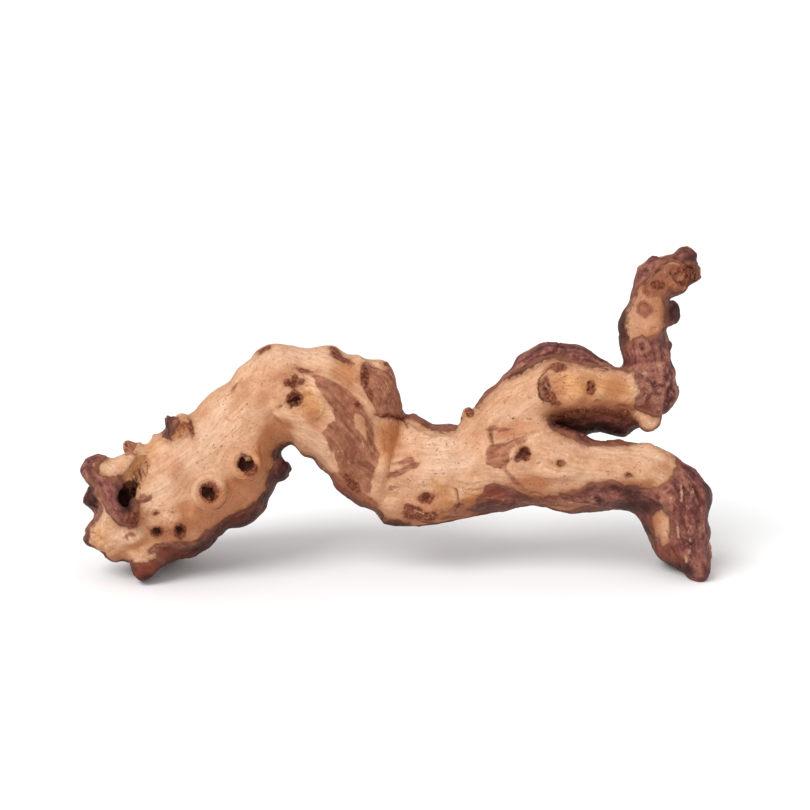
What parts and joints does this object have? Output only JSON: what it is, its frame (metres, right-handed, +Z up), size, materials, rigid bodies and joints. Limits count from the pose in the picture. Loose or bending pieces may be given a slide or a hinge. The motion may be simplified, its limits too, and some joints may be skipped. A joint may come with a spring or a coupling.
{
  "type": "mopani driftwood",
  "caption": "Bent, forked piece of sandblasted mopani driftwood with a raised branch tip, standing on its ends as aquarium or terrarium decor.",
  "frame": {"origin": "on the ground, under the middle of the bounding box", "axes": "+Z up; +X along the wood, from the thick root end to the branch ends; +Y away from the side that the picture shows"},
  "size_m": [0.4034, 0.099, 0.209],
  "materials": {
    "mopani_wood": "matt, sandblasted, with dark bark left in the hollows and on the undersides"
  },
  "bodies": {
    "root": {"trunk": "mopani_wood", "lower_branch": "mopani_wood", "upper_branch": "mopani_wood", "raised_tip": "mopani_wood"}
  },
  "joints": []
}
